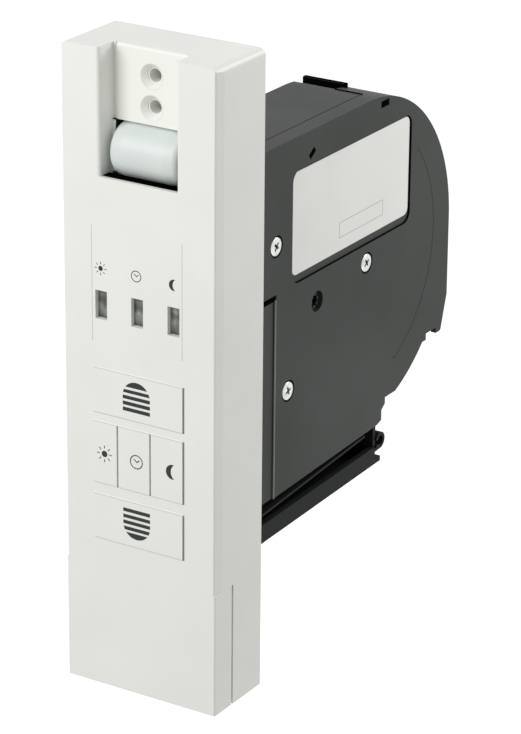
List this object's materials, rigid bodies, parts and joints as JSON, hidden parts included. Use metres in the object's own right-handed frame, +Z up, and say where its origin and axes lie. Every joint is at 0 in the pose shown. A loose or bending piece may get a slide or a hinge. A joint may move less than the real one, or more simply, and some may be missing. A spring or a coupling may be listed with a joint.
{
  "type": "electric belt winder",
  "caption": "Motor-driven roller-shutter belt winder: slim white wall plate with keys and deflection roller on a flat dark in-wall case holding the geared belt reel.",
  "frame": {"origin": "centre of the wall screw holes, on the wall's surface, which is the plane of the plate's back edge", "axes": "+X across the plate towards the side with the label field, +Y into the wall, +Z up"},
  "size_m": [0.057, 0.1699, 0.2157],
  "materials": {
    "white_cover": "satin",
    "white_frame": "satin",
    "white_key": "satin",
    "white_roller": "satin",
    "black_plastic": "satin",
    "case_plastic": "fine-grained",
    "label_foil": "satin",
    "zinc": "bright",
    "steel": "ground",
    "reel_plastic": "satin",
    "gear_plastic": "satin",
    "brass": "machined",
    "magnet": "satin",
    "motor_steel": "plated",
    "circuit_board": "satin",
    "lamp_body": "clear",
    "lamp_window": "satin",
    "plunger_plastic": "satin",
    "transformer_block": "satin",
    "relay_block": "satin",
    "terminal_plastic": "satin"
  },
  "bodies": {
    "winder": {"axle_screw": "zinc", "board_screws": "zinc", "bracket_screws": "zinc", "cable_channel": "case_plastic", "capacitor": "black_plastic", "case_screws": "zinc", "chassis": "white_frame", "clock_window": "lamp_window", "control_board": "circuit_board", "controller_chip": "black_plastic", "front_cover": "white_cover", "gear_pin": "steel", "indicator_leds": "lamp_body", "key_switches": "black_plastic", "left_shell": "case_plastic", "moon_window": "lamp_window", "motor": "motor_steel", "motor_bracket": "zinc", "motor_end_cap": "black_plastic", "power_board": "circuit_board", "rating_label": "label_foil", "reel_axle": "steel", "relays": "relay_block", "right_shell": "case_plastic", "roller_bracket": "black_plastic", "roller_pin": "steel", "sun_window": "lamp_window", "terminal_block": "terminal_plastic", "transformer": "transformer_block", "worm_bush": "brass"},
    "screw_cover": {"screw_cover": "white_cover"},
    "roller": {"deflection_roller": "white_roller"},
    "reel": {"belt_reel": "reel_plastic", "reel_flange": "reel_plastic", "reel_ring": "reel_plastic", "belt_hook": "steel"},
    "gear": {"drive_gear": "gear_plastic"},
    "worm": {"worm": "brass", "motor_shaft": "steel", "pulse_magnet": "magnet"},
    "up_key": {"up_key": "white_key", "up_plunger": "plunger_plastic"},
    "sun_key": {"sun_key": "white_key", "sun_plunger": "plunger_plastic"},
    "clock_key": {"clock_key": "white_key", "clock_plunger": "plunger_plastic"},
    "moon_key": {"moon_key": "white_key", "moon_plunger": "plunger_plastic"},
    "down_key": {"down_key": "white_key", "down_plunger": "plunger_plastic"}
  },
  "joints": [
    {"name": "up_press", "type": "slide", "parent": "winder", "child": "up_key", "axis": [0, 1, 0], "range_m": [0, 0.0008], "stiffness_N_per_m": 400},
    {"name": "sun_press", "type": "slide", "parent": "winder", "child": "sun_key", "axis": [0, 1, 0], "range_m": [0, 0.0008], "stiffness_N_per_m": 400},
    {"name": "clock_press", "type": "slide", "parent": "winder", "child": "clock_key", "axis": [0, 1, 0], "range_m": [0, 0.0008], "stiffness_N_per_m": 400},
    {"name": "moon_press", "type": "slide", "parent": "winder", "child": "moon_key", "axis": [0, 1, 0], "range_m": [0, 0.0008], "stiffness_N_per_m": 400},
    {"name": "down_press", "type": "slide", "parent": "winder", "child": "down_key", "axis": [0, 1, 0], "range_m": [0, 0.0008], "stiffness_N_per_m": 400},
    {"name": "screw_cover_slide", "type": "slide", "parent": "winder", "child": "screw_cover", "axis": [0, 0, -1], "range_m": [0, 0.036]},
    {"name": "roller_spin", "type": "hinge", "parent": "winder", "child": "roller", "pos_m": [0, -0.0168, 0.0677], "axis": [1, 0, 0], "continuous": true},
    {"name": "reel_spin", "type": "hinge", "parent": "winder", "child": "reel", "pos_m": [0, 0.0848, 0.0042], "axis": [1, 0, 0], "continuous": true},
    {"name": "gear_spin", "type": "hinge", "parent": "winder", "child": "gear", "pos_m": [0, 0.01882, -0.00743], "axis": [1, 0, 0], "continuous": true},
    {"name": "worm_spin", "type": "hinge", "parent": "winder", "child": "worm", "pos_m": [0, 0.00082, -0.00743], "axis": [0, 0, 1], "continuous": true}
  ],
  "couplings": [
    {"joint": "gear_spin", "follows": "reel_spin", "ratio": -3.1875},
    {"joint": "worm_spin", "follows": "reel_spin", "ratio": -82.875}
  ]
}
